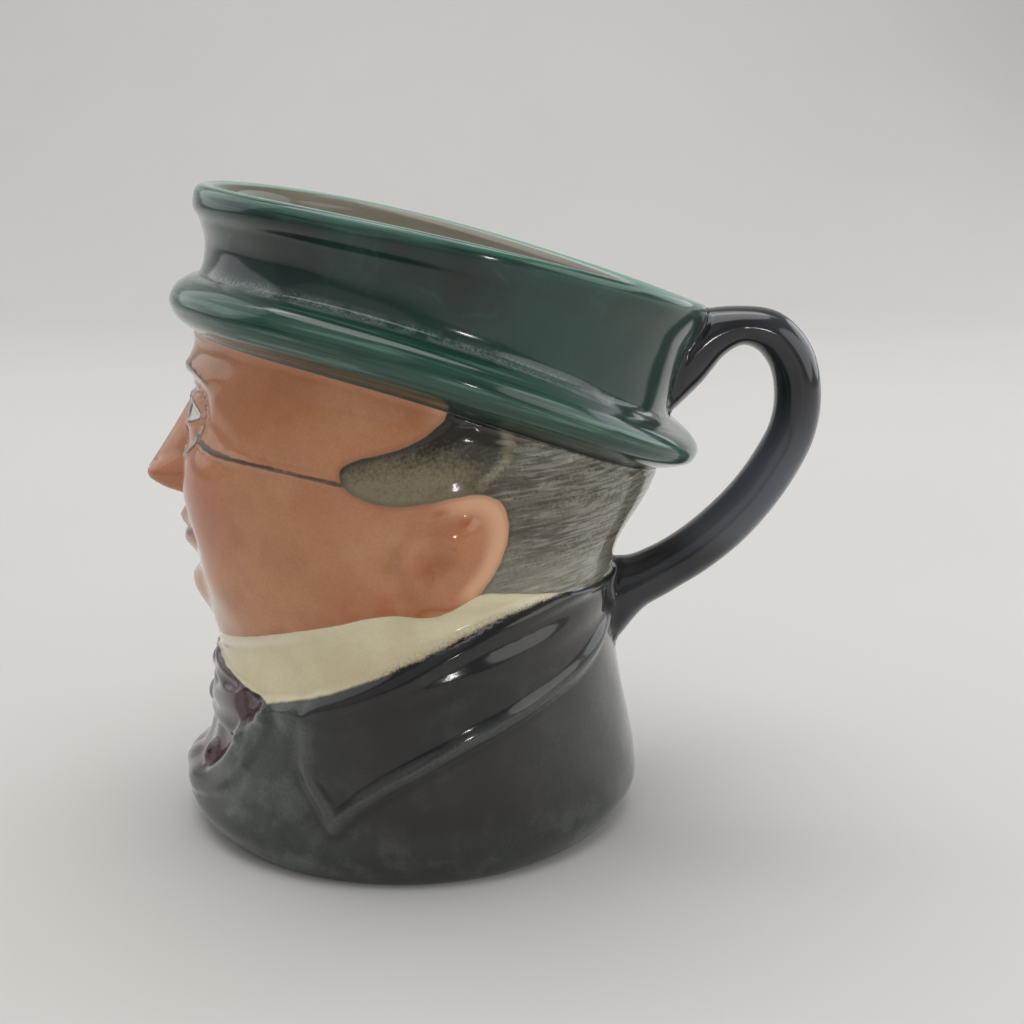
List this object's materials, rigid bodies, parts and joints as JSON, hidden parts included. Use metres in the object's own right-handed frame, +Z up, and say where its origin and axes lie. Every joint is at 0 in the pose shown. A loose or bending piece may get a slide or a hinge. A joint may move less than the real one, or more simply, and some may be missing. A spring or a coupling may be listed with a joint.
{
  "type": "toby jug",
  "caption": "Small glazed toby jug shaped as a gentleman's head in a low tilted hat, hollow and open at the top, with a loop handle at the back.",
  "frame": {"origin": "middle of the flat foot, on the surface that the jug stands on", "axes": "+Z up; the face looks along -X and the handle stands out along +X; the figure's left side is -Y"},
  "size_m": [0.0952, 0.0666, 0.0905],
  "materials": {
    "glazed_earthenware": "gloss"
  },
  "bodies": {
    "root": {"toby_jug": "glazed_earthenware"}
  },
  "joints": []
}
